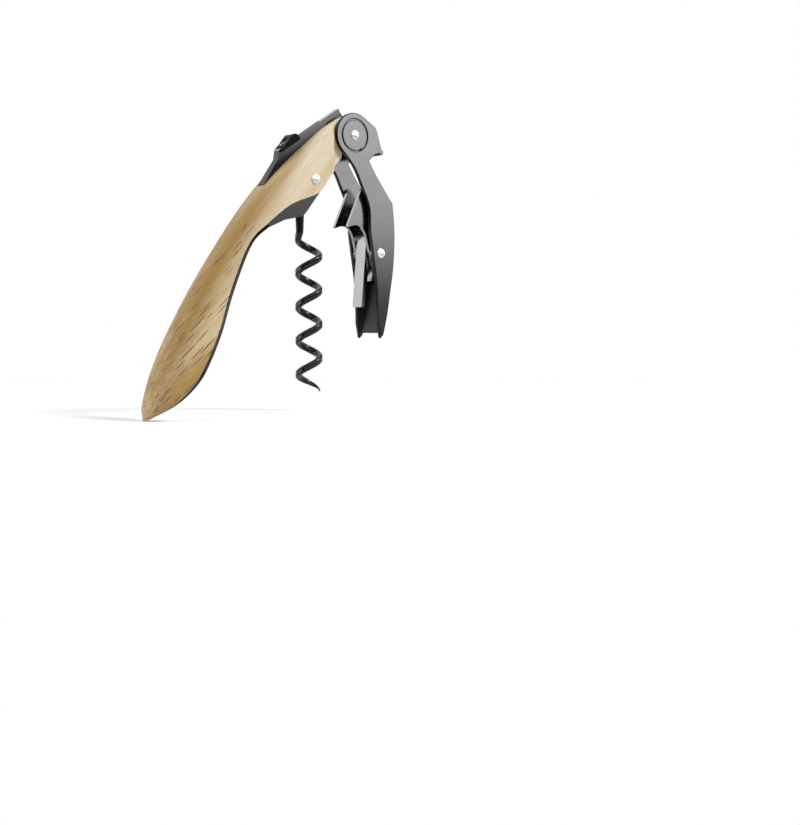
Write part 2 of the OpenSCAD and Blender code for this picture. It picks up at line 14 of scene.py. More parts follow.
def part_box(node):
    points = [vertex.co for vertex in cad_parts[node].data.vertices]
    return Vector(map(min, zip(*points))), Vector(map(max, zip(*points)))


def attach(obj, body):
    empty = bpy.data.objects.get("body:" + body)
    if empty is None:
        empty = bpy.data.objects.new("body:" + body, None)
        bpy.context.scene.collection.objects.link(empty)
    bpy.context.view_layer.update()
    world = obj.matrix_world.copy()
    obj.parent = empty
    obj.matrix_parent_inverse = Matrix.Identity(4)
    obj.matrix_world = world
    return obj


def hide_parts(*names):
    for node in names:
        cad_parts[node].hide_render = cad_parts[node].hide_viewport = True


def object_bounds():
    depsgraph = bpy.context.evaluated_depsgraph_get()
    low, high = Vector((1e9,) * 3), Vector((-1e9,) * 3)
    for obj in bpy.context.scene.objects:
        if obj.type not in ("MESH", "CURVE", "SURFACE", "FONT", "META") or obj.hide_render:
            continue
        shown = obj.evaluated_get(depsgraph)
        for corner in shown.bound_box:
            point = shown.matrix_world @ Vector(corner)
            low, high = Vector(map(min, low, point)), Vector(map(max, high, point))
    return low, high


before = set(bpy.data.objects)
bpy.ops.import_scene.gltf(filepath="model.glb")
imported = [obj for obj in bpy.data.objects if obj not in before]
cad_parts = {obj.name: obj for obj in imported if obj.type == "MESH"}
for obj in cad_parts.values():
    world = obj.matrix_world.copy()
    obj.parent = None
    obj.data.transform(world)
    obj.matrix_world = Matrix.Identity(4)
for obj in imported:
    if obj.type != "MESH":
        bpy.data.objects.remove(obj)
CAD_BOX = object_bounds()

bl_info = {
    "name": "Lever Corkscrew Finish",
    "version": (1, 0, 0),
    "blender": (4, 2, 0),
    "location": "View3D > Sidebar > Corkscrew",
    "description": "Finishes the packed corkscrew with wood, metal, soft edges and a white stage",
    "category": "Object",
}

MM = 0.001


def length(name, description, default_mm):
    """A length property, given in millimetres and kept in metres."""
    return FloatProperty(name=name, description=description, default=default_mm * MM,
                         min=0.0, precision=5, subtype="DISTANCE", unit="LENGTH")


def angle(name, description, degrees):
    """An angle property, given in degrees and kept in radians."""
    return FloatProperty(name=name, description=description, default=math.radians(degrees),
                         subtype="ANGLE")


def colour(name, description, default):
    """A linear colour property."""
    return FloatVectorProperty(name=name, description=description, default=default,
                               size=3, min=0.0, max=1.0, subtype="COLOR")


def factor(name, description, default):
    """A share between 0 and 1."""
    return FloatProperty(name=name, description=description, default=default,
                         min=0.0, max=1.0, subtype="FACTOR")


def number(name, description, default):
    """A plain number property."""
    return FloatProperty(name=name, description=description, default=default, precision=4)


def count(name, description, default):
    """A whole number property."""
    return IntProperty(name=name, description=description, default=default, min=1)


class CorkscrewEdges(bpy.types.PropertyGroup):
    """Edge roundings and the fineness of the smoothed forms."""

    merge: length("Merge", "Corners closer than this are one corner", 0.002)
    near: length("Near", "Points of a rivet closer than this to its end or rim belong to it", 0.02)
    # Edge tilt and the ring below pick the lever's faces that get painted shade: black for the dark
    # reflections on its edges and the shadow in its spine and ring groove.
    edge_tilt: factor("Edge tilt", "Lever faces turned further from its sides are black", 0.97)
    ring_from: length("Ring start", "Inner radius of the ring pressed round the hinge", 4.0)
    ring_to: length("Ring end", "Outer radius of the ring pressed round the hinge", 5.1)
    ring_depth: length("Ring depth", "Reach of the ring into the sheet", 0.6)
    eye_reach: length("Eye reach", "Reach of the fine edges round the rocker's rivet", 1.5)
    sheet: length("Sheet edge", "Rounding of the pressed lever's edges", 0.32)
    rocker: length("Rocker edge", "Rounding of the step rocker's edges", 0.22)
    keel: length("Frame edge", "Rounding of the keel's edges", 0.25)
    cover: length("Cover edge", "Rounding of the blade cover's edges", 0.16)
    knob: length("Knob edge", "Rounding of the thumb knob's edges", 0.65)
    blade: length("Blade edge", "Rounding of the thin blade parts", 0.05)
    small: length("Small edge", "Rounding of bushes, washers, spacers and eyes", 0.12)
    sharp: angle("Sharp angle", "Edges bent more than this are rounded", 30.0)
    wood_sharp: angle("Wood sharp angle", "Wood edges bent more than this stay crisp", 38.0)
    worm_sharp: angle("Worm sharp angle", "Worm edges bent more than this stay crisp", 75.0)
    flat: angle("Flat angle", "Faces within this angle are one face", 0.6)
    join_bend: angle("Join bend", "Triangles bent less than this may become one face", 30.0)
    join_shape: angle("Join shape", "How far such a face may be from a rectangle", 50.0)
    rounds: count("Rounding steps", "Faces across each rounded edge", 3)
    wood_levels: count("Wood levels", "Subdivision of the lofted wood", 2)
    worm_levels: count("Worm levels", "Subdivision of the worm's wire", 2)
    dome_steps: count("Dome steps", "Steps of a rivet dome's quarter arc", 8)
    spin_steps: count("Spin steps", "Steps round a turned piece", 64)


class CorkscrewColours(bpy.types.PropertyGroup):
    """Colours and gloss of each finish."""

    wood_pale: colour("Pale wood", "Early wood near the hinge", (0.76, 0.645, 0.465))
    wood_tan: colour("Tan wood", "Late wood towards the back", (0.37, 0.222, 0.062))
    fleck: colour("Fleck", "Short dark ray flecks along the grain", (0.105, 0.048, 0.013))
    gunmetal: colour("Gunmetal", "Satin lever", (0.29, 0.29, 0.293))
    gunmetal_deep: colour("Deep gunmetal", "Darker drift in the satin", (0.24, 0.24, 0.243))
    keel: colour("Keel metal", "Darker satin of the frame and the worm's block", (0.085, 0.085, 0.087))
    polished: colour("Polished metal", "Step rocker", (0.33, 0.33, 0.333))
    # The clear tone of the blade cover, away from its painted shade.
    cover: colour("Cover metal", "Satin of the blade cover near the hinge", (0.135, 0.135, 0.138))
    # Painted shade: this black stands in for the dark reflections on the lever's edges and the shadow in
    # its spine and ring groove.
    inner: colour("Painted shade black", "Blackened edges, spine and ring of the lever", (0.030, 0.030, 0.031))
    tray: colour("Tray metal", "Dark polished tray in the belly", (0.060, 0.060, 0.062))
    black: colour("Black gloss", "Knob and worm coating", (0.011, 0.011, 0.012))
    rivet: colour("Rivet steel", "Bright rivet heads", (0.86, 0.86, 0.87))
    steel: colour("Plain steel", "Bushes, washers and spacers", (0.20, 0.20, 0.205))
    blade: colour("Blade steel", "Foil blade", (0.62, 0.62, 0.64))
    floor: colour("Floor", "Pale floor under the piece", (0.90, 0.90, 0.90))
    wood_rough: factor("Wood roughness", "Oiled wood", 0.47)
    satin_rough: factor("Satin roughness", "Blasted and darkened sheet", 0.15)
    gloss_rough: factor("Gloss roughness", "Black coating", 0.14)
    polish_rough: factor("Polish roughness", "Polished metal", 0.17)
    # Roughness of the painted shade black on the lever's edges.
    painted_shade_rough: factor("Inner roughness", "Blackened edges of the lever", 0.42)
    rivet_rough: factor("Rivet roughness", "Rivet heads", 0.42)
    steel_rough: factor("Steel roughness", "Turned steel", 0.30)
    blade_rough: factor("Blade roughness", "Ground blade", 0.22)
    wood_shine: factor("Wood shine", "Strength of the wood's gloss", 0.28)
    worm_shine: factor("Worm shine", "Strength of the gloss on the worm's coating", 0.3)
    knob_shine: factor("Knob shine", "Strength of the gloss on the knob's coating", 0.02)


class CorkscrewPatterns(bpy.types.PropertyGroup):
    """Where the tones of the wood and the painted shade of the blade cover lie; places are in millimetres.
    """

    grain_slope: angle("Grain slope", "Tilt of the grain", 47.0)
    grain_bend: number("Grain bend", "Bend of the grain towards the tail", -0.0012)
    grain_lean: number("Grain lean", "Slant of the grain's layers across the grip", 0.59)
    heart_slope: angle("Heart slope", "Tilt of the darker wood along the back", 58.8)
    heart_from: number("Heart start", "Distance across the grip where the darker wood starts", 25.0)
    heart_to: number("Heart full", "Distance across the grip where the darker wood is full", 34.0)
    tail_from: number("Tail start", "Height where the tail starts to darken", 8.0)
    tail_to: number("Tail full", "Height where the tail is darkest", -14.0)
    fleck_from: number("Fleck start", "Height where the flecks start", 28.0)
    fleck_to: number("Fleck full", "Height where the flecks are most common", -4.0)
    fleck_often: factor("Fleck share", "Largest share of places with a fleck", 0.80)
    cover_slope: angle("Cover slope", "Tilt of the blade cover", 33.0)
    # The cover's painted shade: black at its foot where it meets the wood, and darker towards its tail,
    # standing in for the shade and the fading reflection there.
    cover_painted_shade_foot: number("Cover foot", "Distance across the cover where it is black", 40.4)
    cover_painted_shade_edge: number("Cover clear", "Distance across the cover where it is clear", 42.6)
    cover_painted_shade_tail: number("Cover tail", "Distance along the cover where it is darkest", 10.0)
    cover_painted_shade_head: number("Cover head", "Distance along the cover where it is clear", 38.0)
    cover_painted_shade_least: factor("Cover least", "Share of the clear tone left where it is darkest", 0.20)


class CorkscrewStage(bpy.types.PropertyGroup):
    """Floor, lamps and camera."""

    floor_lift: number("Floor lift", "Brightness the camera adds to the floor", 0.26)
    drop: length("Floor drop", "Gap between the lowest point and the floor", 0.15)
    floor_size: length("Floor size", "Side of the square floor", 2400.0)
    fade_from: length("Fade start", "Distance where the floor starts to thin out", 90.0)
    fade_to: length("Fade end", "Distance where the floor is gone", 260.0)
    eye: FloatVectorProperty(name="Eye", description="Camera place", size=3, subtype="XYZ",
                             default=(-0.2352, -0.3287, -0.00547), precision=5)
    yaw: angle("Yaw", "Camera turn about Z, from +Y towards +X", 39.3)
    pitch: angle("Pitch", "Camera tilt below the level", 3.37)
    sensor: number("Sensor", "Sensor height in millimetres", 36.0)
    focal: number("Focal length", "Lens in millimetres", 61.09)
    world: number("World", "Strength of the plain surrounding light", 0.30)
    room: number("Room", "Brightness of the dark room in reflections", 0.03)
    sweep_from: number("Sweep start", "Where the white sweep starts", -0.10)
    sweep_to: number("Sweep full", "Where the white sweep is full", 0.35)
    ceiling: number("Ceiling", "Brightness of the ceiling in reflections", 1.5)
    ceiling_from: number("Ceiling start", "Height where the ceiling starts", 0.015)
    ceiling_to: number("Ceiling full", "Height where the ceiling is full", 0.105)
    key: number("Key lamp", "Front lamp in watts", 7.0)
    side: number("Side lamp", "Left lamp in watts", 3.0)
    top: number("Top lamp", "Overhead lamp in watts", 1.0)


def edges():
    """The edge settings of the open scene."""
    return bpy.context.scene.corkscrew_edges


def colours():
    """The colour settings of the open scene."""
    return bpy.context.scene.corkscrew_colours


def patterns():
    """The pattern settings of the open scene."""
    return bpy.context.scene.corkscrew_patterns


def stage_settings():
    """The stage settings of the open scene."""
    return bpy.context.scene.corkscrew_stage


class Graph:
    """Short helper for the nodes of a material or a world: add, join and set."""

    def __init__(self, name, store=None):
        store = bpy.data.materials if store is None else store
        self.material = store.get(name)
        self.fresh = self.material is None
        if self.fresh:
            self.material = store.new(name)
            self.material.use_nodes = True
            self.tree = self.material.node_tree
            self.tree.nodes.clear()

    def add(self, kind, **settings):
        """A new node with its attributes set."""
        node = self.tree.nodes.new(kind)
        for key, value in settings.items():
            setattr(node, key, value)
        return node

    def link(self, source, target):
        """Joins an output socket to an input socket."""
        self.tree.links.new(source, target)

    def maths(self, operation, first, second=None, third=None):
        """One maths step on sockets or numbers."""
        node = self.add("ShaderNodeMath", operation=operation)
        for place, value in enumerate((first, second, third)):
            if value is None:
                continue
            if isinstance(value, (int, float)):
                node.inputs[place].default_value = value
            else:
                self.link(value, node.inputs[place])
        return node.outputs[0]

    def millimetres(self, tilt=0.0):
        """Object coordinates in millimetres, turned about Y by the tilt."""
        place = self.add("ShaderNodeTexCoord")
        turned = self.add("ShaderNodeMapping")
        turned.inputs["Rotation"].default_value = (0.0, tilt, 0.0)
        turned.inputs["Scale"].default_value = (1.0 / MM, 1.0 / MM, 1.0 / MM)
        self.link(place.outputs["Object"], turned.inputs["Vector"])
        return turned.outputs["Vector"]

    def scaled(self, vector, scale):
        """A vector with each axis multiplied."""
        node = self.add("ShaderNodeVectorMath", operation="MULTIPLY")
        node.inputs[1].default_value = scale
        self.link(vector, node.inputs[0])
        return node.outputs["Vector"]

    def split(self, vector):
        """The three axes of a vector."""
        node = self.add("ShaderNodeSeparateXYZ")
        self.link(vector, node.inputs["Vector"])
        return node.outputs

    def noise(self, vector, detail=2.0, rough=0.5):
        """A noise value on the given coordinates."""
        node = self.add("ShaderNodeTexNoise")
        node.inputs["Scale"].default_value = 1.0
        node.inputs["Detail"].default_value = detail
        node.inputs["Roughness"].default_value = rough
        self.link(vector, node.inputs["Vector"])
        return node.outputs["Fac"]

    def blend(self, share, first, second):
        """A number between two, each a socket or a plain number."""
        node = self.add("ShaderNodeMix", data_type="FLOAT")
        self.link(share, node.inputs[0])
        for socket, value in ((node.inputs[2], first), (node.inputs[3], second)):
            if hasattr(value, "links"):
                self.link(value, socket)
            else:
                socket.default_value = value
        return node.outputs[0]

    def span(self, value, low, high, to_low=0.0, to_high=1.0, smooth=False):
        """A value carried from one range to another, held at the ends."""
        node = self.add("ShaderNodeMapRange", clamp=True)
        if smooth:
            node.interpolation_type = "SMOOTHSTEP"
        node.inputs["From Min"].default_value = low
        node.inputs["From Max"].default_value = high
        node.inputs["To Min"].default_value = to_low
        node.inputs["To Max"].default_value = to_high
        self.link(value, node.inputs["Value"])
        return node.outputs["Result"]

    def mix(self, share, first, second):
        """A colour between two, each a socket or a plain colour."""
        node = self.add("ShaderNodeMix", data_type="RGBA")
        self.link(share, node.inputs["Factor"])
        for socket, value in ((node.inputs[6], first), (node.inputs[7], second)):
            if hasattr(value, "links"):
                self.link(value, socket)
            else:
                socket.default_value = (*value, 1.0)
        return node.outputs[2]

    def shader(self, metallic, shine=0.5):
        """The principled shader, joined to the output."""
        node = self.add("ShaderNodeBsdfPrincipled")
        node.inputs["Metallic"].default_value = metallic
        node.inputs["Specular IOR Level"].default_value = shine
        end = self.add("ShaderNodeOutputMaterial")
        self.link(node.outputs["BSDF"], end.inputs["Surface"])
        return node

    def bump(self, shader, height, strength, distance):
        """A bump on the shader's normal."""
        node = self.add("ShaderNodeBump")
        node.inputs["Strength"].default_value = strength
        node.inputs["Distance"].default_value = distance
        self.link(height, node.inputs["Height"])
        self.link(node.outputs["Normal"], shader.inputs["Normal"])


# Noise values that a pattern is spread over
NOISE_RANGE = (0.30, 0.70)
DRIFT_RANGE = (0.35, 0.68)
# Cells per millimetre of each pattern: along the grain, across the grip, across the layers
DRIFT_CELLS = (0.012, 0.16, 0.16)
FIBRE_CELLS = (0.05, 2.4, 2.4)
RING_CELLS = (0.010, 0.10, 0.34)
# Each kind of fleck: its cells per millimetre, and its reach as a share of a cell
FLECK_KINDS = (
    ((0.09, 0.36, 0.70), (0.42, 0.25, 0.135)),
    ((0.13, 0.46, 1.00), (0.42, 0.25, 0.155)),
)
# Where a fleck's edge starts to fade, as a share of its reach
FLECK_CORE = 0.7
# Angle in radians that the rings' wave turns over the noise, and the width of a dark seam in the wave
RING_TURN = 60.0
SEAM_WIDTH = 0.16
# How much of the tan colour each pattern adds or takes away
BACK_SHARE = 0.86
TAIL_SHARE = 0.85
DRIFT_SHARE = (-0.14, 0.30)
FIBRE_SHARE = (-0.12, 0.16)
SEAM_SHARE = 0.26
FLECK_SHARE = 0.95
# Relief of the wood's surface
FIBRE_RELIEF = 0.35
WOOD_BUMP = 0.35
WOOD_BUMP_HEIGHT = 0.05 * MM


def grain_lines(graph):
    """Coordinates with the grain in X: it bends a little towards the tail and leans across the grip."""
    lie = patterns()
    along, side, across = graph.split(graph.millimetres(lie.grain_slope))
    across = graph.maths("MULTIPLY_ADD", graph.maths("MULTIPLY", along, along), lie.grain_bend, across)
    across = graph.maths("MULTIPLY_ADD", side, lie.grain_lean, across)
    node = graph.add("ShaderNodeCombineXYZ")
    for place, value in enumerate((along, side, across)):
        graph.link(value, node.inputs[place])
    return node.outputs["Vector"]


def fleck_mask(graph, grain, often, cells_per_mm, reach):
    """Thin flecks along the grain, in a share of the cells: 1 inside a fleck, 0 outside."""
    place = graph.scaled(grain, cells_per_mm)
    cells = graph.add("ShaderNodeTexVoronoi", feature="F1")
    cells.inputs["Scale"].default_value = 1.0
    graph.link(place, cells.inputs["Vector"])
    away = graph.add("ShaderNodeVectorMath", operation="SUBTRACT")
    graph.link(place, away.inputs[0])
    graph.link(cells.outputs["Position"], away.inputs[1])
    size = graph.add("ShaderNodeVectorMath", operation="LENGTH")
    graph.link(graph.scaled(away.outputs["Vector"], tuple(1.0 / part for part in reach)), size.inputs[0])
    fleck = graph.span(size.outputs["Value"], FLECK_CORE, 1.0, 1.0, 0.0)
    chance = graph.add("ShaderNodeSeparateColor")
    graph.link(cells.outputs["Color"], chance.inputs["Color"])
    kept = graph.maths("LESS_THAN", chance.outputs["Red"], often)
    return graph.maths("MULTIPLY", fleck, kept)


def wood_material():
    """Pale wood with straight grain and short dark ray flecks, darker and richer in them at the back."""
    graph = Graph("Pale wood")
    if not graph.fresh:
        return graph.material
    tint = colours()
    lie = patterns()
    grain = grain_lines(graph)
    drift = graph.noise(graph.scaled(grain, DRIFT_CELLS), detail=3.0, rough=0.55)
    fibre = graph.noise(graph.scaled(grain, FIBRE_CELLS), detail=3.0, rough=0.6)
    rings = graph.noise(graph.scaled(grain, RING_CELLS))
    heart = graph.split(graph.millimetres(lie.heart_slope))["Z"]
    height = graph.split(graph.millimetres())["Z"]
    tail = graph.span(height, lie.tail_to, lie.tail_from, TAIL_SHARE, 0.0)
    back = graph.maths("MAXIMUM", graph.span(heart, lie.heart_from, lie.heart_to), tail)
    bands = graph.maths("ABSOLUTE", graph.maths("SINE", graph.maths("MULTIPLY", rings, RING_TURN)))
    seams = graph.span(bands, 0.0, SEAM_WIDTH, 1.0, 0.0)
    share = graph.maths("ADD", graph.maths("MULTIPLY", back, BACK_SHARE),
                        graph.span(drift, *DRIFT_RANGE, *DRIFT_SHARE))
    share = graph.maths("ADD", share, graph.span(fibre, *NOISE_RANGE, *FIBRE_SHARE))
    share = graph.span(graph.maths("ADD", share, graph.maths("MULTIPLY", seams, SEAM_SHARE)), 0.0, 1.0)
    base = graph.mix(share, tuple(tint.wood_pale), tuple(tint.wood_tan))
    often = graph.span(height, lie.fleck_to, lie.fleck_from, lie.fleck_often, 0.0)
    flecks = graph.maths("MAXIMUM", *(fleck_mask(graph, grain, often, *kind) for kind in FLECK_KINDS))
    shader = graph.shader(0.0, tint.wood_shine)
    graph.link(graph.mix(graph.maths("MULTIPLY", flecks, FLECK_SHARE), base, tuple(tint.fleck)),
               shader.inputs["Base Color"])
    shader.inputs["Roughness"].default_value = tint.wood_rough
    relief = graph.maths("SUBTRACT", graph.maths("MULTIPLY", fibre, FIBRE_RELIEF), flecks)
    graph.bump(shader, relief, WOOD_BUMP, WOOD_BUMP_HEIGHT)
    return graph.material


# Cells per millimetre of the slow drift in a metal's tone
METAL_DRIFT_CELLS = (0.06, 0.06, 0.06)
METAL_BUMP_HEIGHT = 0.02 * MM
LEAST_ROUGHNESS = 0.03


def shade(base, share):
    """A darker tone of a colour."""
    return tuple(part * share for part in base)


def metal_material(name, base, deep, rough, spread, grain_mm, bump=0.0, metallic=1.0, shine=0.5):
    """Metal or coating whose tone drifts between two colours, and whose gloss drifts by the spread."""
    graph = Graph(name)
    if not graph.fresh:
        return graph.material
    shader = graph.shader(metallic, shine)
    place = graph.millimetres()
    fine = graph.noise(graph.scaled(place, (1.0 / grain_mm,) * 3), detail=3.0, rough=0.6)
    broad = graph.noise(graph.scaled(place, METAL_DRIFT_CELLS))
    graph.link(graph.mix(graph.span(broad, *NOISE_RANGE), tuple(base), tuple(deep)),
               shader.inputs["Base Color"])
    graph.link(graph.span(fine, *NOISE_RANGE, max(rough - spread, LEAST_ROUGHNESS), rough + spread),
               shader.inputs["Roughness"])
    if bump > 0.0:
        graph.bump(shader, fine, bump, METAL_BUMP_HEIGHT)
    return graph.material


def satin():
    """Satin gunmetal of the lever."""
    tint = colours()
    return metal_material("Satin gunmetal", tint.gunmetal, tint.gunmetal_deep, tint.satin_rough,
                          spread=0.05, grain_mm=0.12, bump=0.10)


def cover_metal_painted_shade():
    """Satin of the blade cover with painted shade: black towards its foot and darker towards its tail."""
    graph = Graph("Cover metal")
    if not graph.fresh:
        return graph.material
    tint = colours()
    lie = patterns()
    place = graph.split(graph.millimetres(lie.cover_slope))
    # Painted shade: the clear share falls to black at the foot and to the least share at the tail.
    clear = graph.maths("MULTIPLY", graph.span(place["Z"], lie.cover_painted_shade_foot, lie.cover_painted_shade_edge),
                        graph.span(place["X"], lie.cover_painted_shade_tail, lie.cover_painted_shade_head, lie.cover_painted_shade_least, 1.0))
    shader = graph.shader(1.0)
    graph.link(graph.mix(clear, tuple(tint.black), tuple(tint.cover)), shader.inputs["Base Color"])
    shader.inputs["Roughness"].default_value = tint.satin_rough
    return graph.material


def painted_shade_black():
    """Painted shade: black metal on the lever's edges, spine and ring groove, standing in for their dark
    reflections and shadow.
    """
    tint = colours()
    return metal_material("Painted shade black", tint.inner, shade(tint.inner, 0.7), tint.painted_shade_rough,
                          spread=0.05, grain_mm=0.15)


def keel_metal():
    """Darker satin of the frame and the worm's block."""
    tint = colours()
    return metal_material("Keel metal", tint.keel, shade(tint.keel, 0.8), tint.satin_rough,
                          spread=0.05, grain_mm=0.12, bump=0.08)


def polished():
    """Polished metal of the step rocker."""
    tint = colours()
    return metal_material("Polished metal", tint.polished, shade(tint.polished, 0.9), tint.polish_rough,
                          spread=0.03, grain_mm=0.5)


def tray_metal():
    """Dark polished metal of the tray."""
    tint = colours()
    return metal_material("Tray metal", tint.tray, shade(tint.tray, 0.8), tint.polish_rough,
                          spread=0.03, grain_mm=0.5)


def gloss_black(name, shine):
    """Glossy black coating."""
    tint = colours()
    return metal_material(name, tint.black, shade(tint.black, 0.7), tint.gloss_rough,
                          spread=0.03, grain_mm=0.6, metallic=0.0, shine=shine)


def rivet_steel():
    """Bright rivet heads."""
    tint = colours()
    return metal_material("Rivet steel", tint.rivet, shade(tint.rivet, 0.9), tint.rivet_rough,
                          spread=0.03, grain_mm=0.3)


def plain_steel():
    """Turned steel of the small inner parts."""
    tint = colours()
    return metal_material("Plain steel", tint.steel, shade(tint.steel, 0.8), tint.steel_rough,
                          spread=0.05, grain_mm=0.2)


def blade_steel():
    """Ground blade steel."""
    tint = colours()
    return metal_material("Blade steel", tint.blade, shade(tint.blade, 0.85), tint.blade_rough,
                          spread=0.05, grain_mm=0.25)


def centre_of(node):
    """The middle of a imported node's box."""
    low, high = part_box(node)
    return (Vector(low) + Vector(high)) / 2.0


def away_from(place, axis):
    """Distance of a place from an axis across the tool."""
    return math.hypot(place.x - axis.x, place.z - axis.z)


def node_form(node):
    """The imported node's form with its corners merged, as an editable mesh."""
    form = bmesh.new()
    form.from_mesh(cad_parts[node].data)
    bmesh.ops.remove_doubles(form, verts=form.verts[:], dist=edges().merge)
    bmesh.ops.dissolve_degenerate(form, edges=form.edges[:], dist=edges().merge)
    for face in form.faces:
        face.material_index = 0
    return form


def bent(form, least):
    """Edges whose two faces meet at more than the least angle."""
    return [edge for edge in form.edges
            if len(edge.link_faces) == 2 and edge.calc_face_angle(0.0) > least]


def make_piece(form, name, material, body, node):
    """Turns the form into an object that replaces the node and rides the body."""
    for face in form.faces:
        face.smooth = True
    bmesh.ops.recalc_face_normals(form, faces=form.faces[:])
    mesh = bpy.data.meshes.new(name)
    form.to_mesh(mesh)
    form.free()
    if "custom_normal" in mesh.attributes:
        mesh.attributes.remove(mesh.attributes["custom_normal"])
    mesh.materials.append(material)
    piece = bpy.data.objects.new(name, mesh)
    bpy.context.scene.collection.objects.link(piece)
    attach(piece, body)
    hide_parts(node)
    return piece


def round_edges(form, width, wanted=None):
    """Rounds the sharp edges of a form whose middles are wanted, by less where they lie too close."""
    chosen = bent(form, edges().sharp)
    if wanted is not None:
        chosen = [edge for edge in chosen if wanted((edge.verts[0].co + edge.verts[1].co) / 2.0)]
    bmesh.ops.bevel(form, geom=chosen, offset=width, offset_type="OFFSET", segments=edges().rounds,
                    profile=0.5, affect="EDGES", material=-1, clamp_overlap=True, loop_slide=True)


def rounded_piece(node, name, material, body, width, dark=None, fine=None):
    """A copy of the node with its flats joined and its edges rounded.

    dark picks the faces that get the painted shade black, and fine picks the places where the rounding is
    small.
    """
    form = node_form(node)
    bmesh.ops.dissolve_limit(form, angle_limit=edges().flat, use_dissolve_boundaries=False,
                             verts=form.verts[:], edges=form.edges[:], delimit=set())
    if fine is None:
        round_edges(form, width)
    else:
        round_edges(form, width, lambda place: not fine(place))
        form.normal_update()
        round_edges(form, edges().small, fine)
    if dark is not None:
        form.normal_update()
        for face in form.faces:
            face.material_index = int(dark(face.calc_center_median(), face.normal))
    for edge in form.edges:
        edge.smooth = True
    for edge in bent(form, edges().sharp):
        edge.smooth = False
    piece = make_piece(form, name, material, body, node)
    # The second slot holds the painted shade black.
    if dark is not None:
        piece.data.materials.append(painted_shade_black())
    steady = piece.modifiers.new("Steady normals", "WEIGHTED_NORMAL")
    steady.keep_sharp = True
    return piece


def smoothed_piece(node, name, material, body, levels, sharp):
    """A copy of a lofted node, subdivided, with its cut edges kept crisp."""
    form = node_form(node)
    bmesh.ops.join_triangles(form, faces=form.faces[:], angle_face_threshold=edges().join_bend,
                             angle_shape_threshold=edges().join_shape)
    crease = form.edges.layers.float.get("crease_edge")
    if crease is None:
        crease = form.edges.layers.float.new("crease_edge")
    for edge in form.edges:
        edge.smooth = True
    for edge in bent(form, sharp):
        edge[crease] = 1.0
        edge.smooth = False
    piece = make_piece(form, name, material, body, node)
    smooth = piece.modifiers.new("Smooth form", "SUBSURF")
    smooth.levels = levels
    smooth.render_levels = levels
    return piece


def turned_pin(node, name, body):
    """A bright rivet turned about its own axis: a plain shank with a domed head at each end."""
    low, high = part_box(node)
    centre = centre_of(node)
    head = (high[0] - low[0]) / 2.0
    half = (high[1] - low[1]) / 2.0
    points = [vertex.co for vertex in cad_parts[node].data.vertices]
    shank = min(away_from(point, centre) for point in points
                if abs(abs(point.y - centre.y) - half) > edges().near)
    under = min(abs(point.y - centre.y) for point in points
                if away_from(point, centre) > head - edges().near)
    form = bmesh.new()
    profile = [(0.0, -half)]
    steps = edges().dome_steps
    for step in range(1, steps + 1):
        turn = math.pi / 2.0 * step / steps
        profile.append((head * math.sin(turn), -under - (half - under) * math.cos(turn)))
    profile += [(shank, -under), (shank, under)]
    profile += [(radius, -along) for radius, along in reversed(profile[:steps + 1])]
    ring = [form.verts.new((centre.x + radius, centre.y + along, centre.z)) for radius, along in profile]
    line = [form.edges.new(pair) for pair in zip(ring, ring[1:])]
    bmesh.ops.spin(form, geom=ring + line, cent=centre, axis=(0.0, 1.0, 0.0), dvec=(0.0, 0.0, 0.0),
                   angle=math.tau, steps=edges().spin_steps, use_merge=True, use_duplicate=False)
    bmesh.ops.remove_doubles(form, verts=form.verts[:], dist=edges().merge)
    for edge in bent(form, edges().sharp):
        edge.smooth = False
    return make_piece(form, name, rivet_steel(), body, node)


class CORKSCREW_OT_wood_grip(bpy.types.Operator):
    """Finish the carved wooden grip"""

    bl_idname = "corkscrew.wood_grip"
    bl_label = "Wooden grip"

    def execute(self, context):
        smoothed_piece("wood_grip", "carved_grip", wood_material(), "handle",
                       edges().wood_levels, edges().wood_sharp)
        return {"FINISHED"}


class CORKSCREW_OT_metal_frame(bpy.types.Operator):
    """Finish the metal keel with its fork and the dark tray in the belly"""

    bl_idname = "corkscrew.metal_frame"
    bl_label = "Frame and tray"

    def execute(self, context):
        rounded_piece("frame", "keel_and_fork", keel_metal(), "handle", edges().keel)
        smoothed_piece("belly_tray", "belly_liner", tray_metal(), "handle",
                       edges().wood_levels, edges().wood_sharp)
        return {"FINISHED"}


class CORKSCREW_OT_lever(bpy.types.Operator):
    """Finish the folded lever"""

    bl_idname = "corkscrew.lever"
    bl_label = "Lever"

    def execute(self, context):
        hinge = centre_of("hinge_pin")
        rocker = centre_of("rocker_pin")
        face_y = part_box("lever_channel")[1][1]

        # Painted shade: the ring's groove and every face turned away from the lever's sides are black.
        def dark(centre, normal):
            depth = face_y - abs(centre.y)
            ring = (edges().ring_from < away_from(centre, hinge) < edges().ring_to
                    and edges().merge < depth < edges().ring_depth)
            return ring or abs(normal.y) < edges().edge_tilt

        def fine(place):
            return away_from(place, hinge) < edges().ring_to or away_from(place, rocker) < edges().eye_reach

        rounded_piece("lever_channel", "folded_lever", satin(), "lever", edges().sheet,
                      dark, fine)
        return {"FINISHED"}


class CORKSCREW_OT_rocker(bpy.types.Operator):
    """Finish the rocker with its claws and strip"""

    bl_idname = "corkscrew.rocker"
    bl_label = "Step rocker"

    def execute(self, context):
        rounded_piece("step_rocker", "claw_rocker", polished(), "rocker",
                      edges().rocker)
        return {"FINISHED"}


